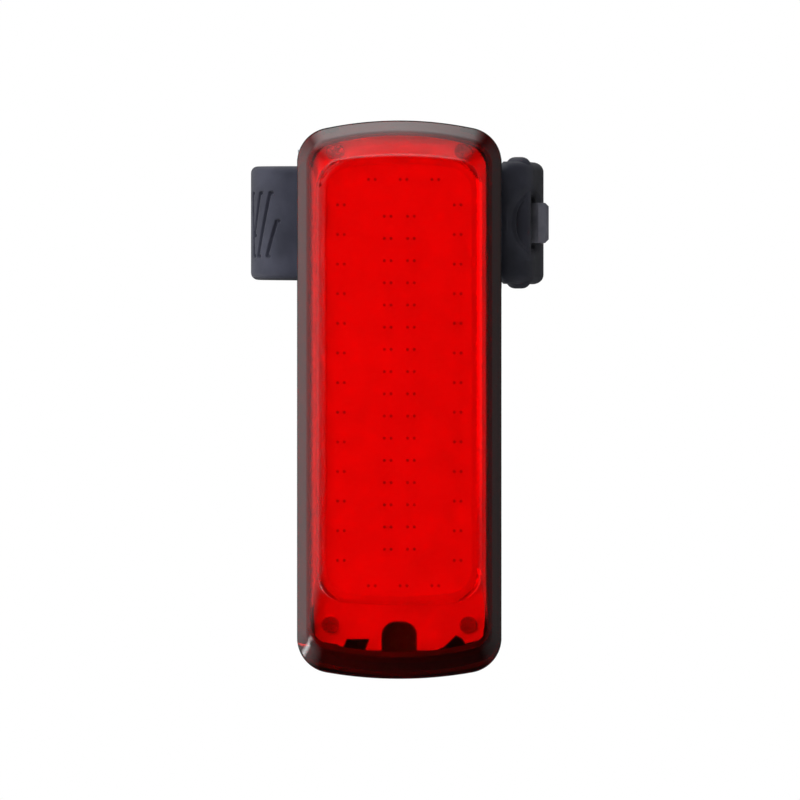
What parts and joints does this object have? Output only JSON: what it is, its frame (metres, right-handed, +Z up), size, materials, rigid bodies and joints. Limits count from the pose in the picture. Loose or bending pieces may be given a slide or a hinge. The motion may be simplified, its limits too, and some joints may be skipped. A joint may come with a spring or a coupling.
{
  "type": "bicycle rear light",
  "caption": "Tall rechargeable rear light with a red lens over rows of small chips, sprung power button, port flap and a rubber strap that hooks round a seat post.",
  "frame": {"origin": "on the axis of the seat post that the mount clasps, halfway up the strap", "axes": "+Z up along the seat post and the long body, -Y the way the lens shines, +X to the right in the front view"},
  "size_m": [0.0424, 0.0576, 0.0791],
  "materials": {
    "red_lens": "gloss, clear red",
    "black_shell": "fine satin",
    "seal_rubber": "matte",
    "clear_diffuser": "frosted",
    "board_front": "satin solder mask",
    "chip_dots": "gloss",
    "pale_carrier": "satin",
    "screw_steel": "plated",
    "board_main": "solder mask",
    "black_plastic": "satin",
    "cell_foil": "satin foil",
    "tape": "matte",
    "foam": "matte foam",
    "lead_jacket": "satin",
    "ferrite": "matte",
    "ceramic": "satin",
    "socket_steel": "satin",
    "soft_rubber": "matte",
    "button_rubber": "matte",
    "strap_rubber": "matte"
  },
  "bodies": {
    "light": {"lens_cover": "red_lens", "rear_housing": "black_shell", "lens_seal": "seal_rubber", "diffuser": "clear_diffuser", "led_board": "board_front", "led_chips": "chip_dots", "led_carrier": "pale_carrier", "carrier_screws": "screw_steel", "main_board": "board_main", "board_spacers": "pale_carrier", "board_link": "black_plastic", "battery_cell": "cell_foil", "battery_tape": "tape", "battery_pad": "foam", "battery_plug": "pale_carrier", "battery_leads": "lead_jacket", "control_chip": "black_plastic", "charge_chip": "black_plastic", "driver_coil": "ferrite", "board_capacitors": "ceramic", "status_lamp": "clear_diffuser", "usb_socket": "socket_steel", "button_gasket": "seal_rubber", "switch_case": "black_plastic", "switch_legs": "socket_steel", "strap_mount": "black_plastic", "mount_screws": "screw_steel", "saddle_pad": "soft_rubber", "strap_pin": "screw_steel", "strap_root": "strap_rubber"},
    "button": {"power_button": "button_rubber", "switch_plunger": "pale_carrier"},
    "flap": {"port_flap": "soft_rubber"},
    "strap_rear": {"strap_back": "strap_rubber"},
    "strap_tip": {"strap_end": "strap_rubber"}
  },
  "joints": [
    {"name": "button_press", "type": "slide", "parent": "light", "child": "button", "axis": [0, -1, 0], "range_m": [0, 0.0005], "stiffness_N_per_m": 3000, "springref_m": -0.00005},
    {"name": "flap_open", "type": "hinge", "parent": "light", "child": "flap", "pos_m": [0, -0.0233, -0.06365], "axis": [1, 0, 0], "range_deg": [0, 95]},
    {"name": "strap_open", "type": "hinge", "parent": "light", "child": "strap_rear", "pos_m": [-0.00759, 0.01354, 0], "axis": [0, 0, 1], "range_deg": [0, 34], "stiffness_Nm_per_rad": 0.004},
    {"name": "strap_end_open", "type": "hinge", "parent": "strap_rear", "child": "strap_tip", "pos_m": [0.01863, 0.00046, 0], "axis": [0, 0, 1], "range_deg": [0, 102]}
  ],
  "couplings": [
    {"joint": "strap_end_open", "follows": "strap_open", "ratio": 3}
  ]
}
